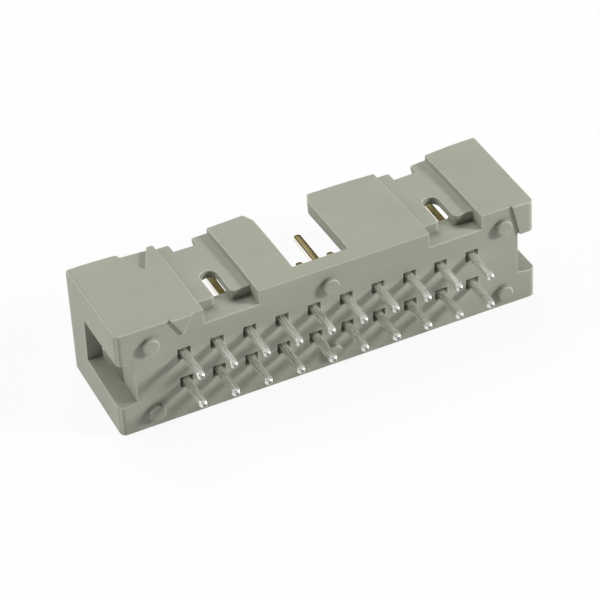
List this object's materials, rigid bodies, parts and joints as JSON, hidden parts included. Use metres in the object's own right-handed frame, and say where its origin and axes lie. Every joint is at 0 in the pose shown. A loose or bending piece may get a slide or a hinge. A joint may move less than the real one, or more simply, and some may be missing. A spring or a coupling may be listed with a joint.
{
  "type": "box header",
  "caption": "Shrouded box header for ribbon cable: an open rectangular housing with a polarising slot, square contacts and straight solder tails",
  "frame": {"origin": "centre of the contact grid on the board face, the plane in which the standoffs end", "axes": "+X along the housing away from contact 1, +Y out of the mating mouth, -Y along the solder tails, +Z through the keyed wall; the part lies on its plain side wall"},
  "size_m": [0.033, 0.0119, 0.009],
  "materials": {
    "housing": "matte pebble grey moulding",
    "contact": "gold-plated blade and bright tinned tail"
  },
  "bodies": {
    "root": {"housing": "housing", "contact_01": "contact", "contact_02": "contact", "contact_03": "contact", "contact_04": "contact", "contact_05": "contact", "contact_06": "contact", "contact_07": "contact", "contact_08": "contact", "contact_09": "contact", "contact_10": "contact", "contact_11": "contact", "contact_12": "contact", "contact_13": "contact", "contact_14": "contact", "contact_15": "contact", "contact_16": "contact", "contact_17": "contact", "contact_18": "contact", "contact_19": "contact", "contact_20": "contact"}
  },
  "joints": []
}
